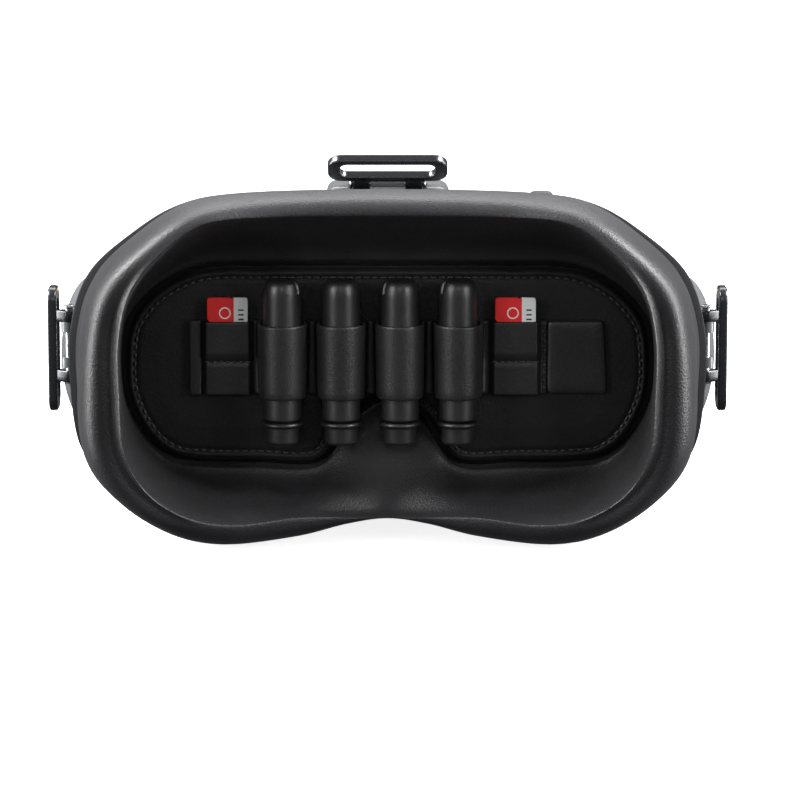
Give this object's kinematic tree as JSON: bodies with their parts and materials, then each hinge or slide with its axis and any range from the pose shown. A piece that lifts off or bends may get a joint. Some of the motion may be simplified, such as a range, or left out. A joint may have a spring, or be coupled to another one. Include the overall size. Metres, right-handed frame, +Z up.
{
  "type": "fpv goggles",
  "caption": "Head-worn video goggles with a leather face foam, hinged strap buckles, sliding eyepieces and a storage pad holding antennas and memory cards.",
  "frame": {"origin": "middle of the object's box, on the surface it stands on", "axes": "+X towards the wearer's right ear, +Y from the face towards the visor, +Z up"},
  "size_m": [0.1906, 0.122, 0.1055],
  "materials": {
    "black_leather": "soft matt grain",
    "pad_leather": "matt grain, stitched",
    "black_shell": "satin moulded",
    "gloss_black": "polished",
    "grey_shell": "satin moulded",
    "dark_metal": "dark anodised",
    "steel": "satin",
    "gilt_brass": "gilt",
    "antenna_shell": "satin moulded",
    "lens_glass": "coated",
    "circuit_board": "solder mask",
    "bare_aluminium": "milled",
    "memory_card": "printed plastic",
    "rubber_black": "soft matt"
  },
  "bodies": {
    "root": {"main_housing": "black_shell", "front_visor": "gloss_black", "eyepiece_plate": "black_shell", "foam_backing": "black_shell", "face_foam": "black_leather", "top_vent_grille": "black_shell", "bottom_vent_grille": "black_shell", "main_board": "circuit_board", "fan_frame": "black_shell", "heat_sink": "bare_aluminium", "upper_guide_rod": "steel", "lower_guide_rod": "steel", "connector_1": "gilt_brass", "connector_2": "gilt_brass", "connector_3": "gilt_brass", "connector_4": "gilt_brass", "usb_port": "dark_metal", "power_port": "dark_metal", "av_port": "dark_metal", "card_reader": "dark_metal", "left_bracket": "grey_shell", "right_bracket": "grey_shell", "top_bracket": "grey_shell", "left_pin": "steel", "right_pin": "steel", "top_pin": "steel"},
    "left_buckle": {"left_loop": "dark_metal"},
    "right_buckle": {"right_loop": "dark_metal"},
    "top_buckle": {"top_loop": "dark_metal"},
    "left_carriage": {"left_lens_barrel": "black_shell", "left_lens": "lens_glass", "left_display": "gloss_black", "left_ipd_knob": "rubber_black"},
    "right_carriage": {"right_lens_barrel": "black_shell", "right_lens": "lens_glass", "right_display": "gloss_black", "right_ipd_knob": "rubber_black"},
    "fan": {"fan_rotor": "black_shell"},
    "shortcut_key": {"shortcut_button": "rubber_black"},
    "back_key": {"back_button": "rubber_black"},
    "record_key": {"record_button": "rubber_black"},
    "link_key": {"link_button": "rubber_black"},
    "stick": {"stick_shaft": "steel"},
    "stick_head": {"stick_cap": "rubber_black"},
    "pad": {"storage_pad": "pad_leather", "holder_strip": "pad_leather"},
    "left_card": {"card_left": "memory_card"},
    "right_card": {"card_right": "memory_card"},
    "aerial_1": {"antenna_1": "antenna_shell"},
    "nut_1": {"antenna_1_nut": "antenna_shell"},
    "aerial_2": {"antenna_2": "antenna_shell"},
    "nut_2": {"antenna_2_nut": "antenna_shell"},
    "aerial_3": {"antenna_3": "antenna_shell"},
    "nut_3": {"antenna_3_nut": "antenna_shell"},
    "aerial_4": {"antenna_4": "antenna_shell"},
    "nut_4": {"antenna_4_nut": "antenna_shell"}
  },
  "joints": [
    {"name": "left_buckle_hinge", "type": "hinge", "parent": "root", "child": "left_buckle", "pos_m": [-0.089, -0.0126, 0.0514], "axis": [0, 0, -1], "range_deg": [-12, 50]},
    {"name": "right_buckle_hinge", "type": "hinge", "parent": "root", "child": "right_buckle", "pos_m": [0.089, -0.0126, 0.0514], "axis": [0, 0, 1], "range_deg": [-12, 50]},
    {"name": "top_buckle_hinge", "type": "hinge", "parent": "root", "child": "top_buckle", "pos_m": [0, -0.0085, 0.0962], "axis": [-1, 0, 0], "range_deg": [-15, 80]},
    {"name": "left_eye_slide", "type": "slide", "parent": "root", "child": "left_carriage", "axis": [-1, 0, 0], "range_m": [-0.003, 0.003]},
    {"name": "right_eye_slide", "type": "slide", "parent": "root", "child": "right_carriage", "axis": [1, 0, 0], "range_m": [-0.003, 0.003]},
    {"name": "fan_spin", "type": "hinge", "parent": "root", "child": "fan", "pos_m": [0, 0.0115, 0.05], "axis": [0, 1, 0], "continuous": true},
    {"name": "shortcut_press", "type": "slide", "parent": "root", "child": "shortcut_key", "axis": [0, 0, -1], "range_m": [0, 0.0008], "stiffness_N_per_m": 300},
    {"name": "back_press", "type": "slide", "parent": "root", "child": "back_key", "axis": [0, 0, -1], "range_m": [0, 0.0008], "stiffness_N_per_m": 300},
    {"name": "record_press", "type": "slide", "parent": "root", "child": "record_key", "axis": [0, 0, -1], "range_m": [0, 0.0008], "stiffness_N_per_m": 300},
    {"name": "link_press", "type": "slide", "parent": "root", "child": "link_key", "axis": [0, 0, -1], "range_m": [0, 0.0008], "stiffness_N_per_m": 300},
    {"name": "stick_fore_aft", "type": "hinge", "parent": "root", "child": "stick", "pos_m": [0.044, 0.027, 0.082], "axis": [1, 0, 0], "range_deg": [-7, 7], "stiffness_Nm_per_rad": 0.02},
    {"name": "stick_left_right", "type": "hinge", "parent": "stick", "child": "stick_head", "pos_m": [0.044, 0.027, 0.082], "axis": [0, 1, 0], "range_deg": [-7, 7], "stiffness_Nm_per_rad": 0.02},
    {"name": "pad_pull", "type": "slide", "parent": "root", "child": "pad", "axis": [0, -1, 0], "range_m": [0, 0.06]},
    {"name": "antenna_1_pull", "type": "slide", "parent": "pad", "child": "aerial_1", "axis": [0, 0, 1], "range_m": [0, 0.004]},
    {"name": "nut_1_turn", "type": "hinge", "parent": "aerial_1", "child": "nut_1", "pos_m": [-0.0288, -0.037, 0.031], "axis": [0, 0, 1], "continuous": true},
    {"name": "antenna_2_pull", "type": "slide", "parent": "pad", "child": "aerial_2", "axis": [0, 0, 1], "range_m": [0, 0.004]},
    {"name": "nut_2_turn", "type": "hinge", "parent": "aerial_2", "child": "nut_2", "pos_m": [-0.0127, -0.037, 0.031], "axis": [0, 0, 1], "continuous": true},
    {"name": "antenna_3_pull", "type": "slide", "parent": "pad", "child": "aerial_3", "axis": [0, 0, 1], "range_m": [0, 0.004]},
    {"name": "nut_3_turn", "type": "hinge", "parent": "aerial_3", "child": "nut_3", "pos_m": [0.0034, -0.037, 0.031], "axis": [0, 0, 1], "continuous": true},
    {"name": "antenna_4_pull", "type": "slide", "parent": "pad", "child": "aerial_4", "axis": [0, 0, 1], "range_m": [0, 0.004]},
    {"name": "nut_4_turn", "type": "hinge", "parent": "aerial_4", "child": "nut_4", "pos_m": [0.0194, -0.037, 0.031], "axis": [0, 0, 1], "continuous": true},
    {"name": "left_card_pull", "type": "slide", "parent": "pad", "child": "left_card", "axis": [0, 0, 1], "range_m": [0, 0.008]},
    {"name": "right_card_pull", "type": "slide", "parent": "pad", "child": "right_card", "axis": [0, 0, 1], "range_m": [0, 0.008]}
  ]
}
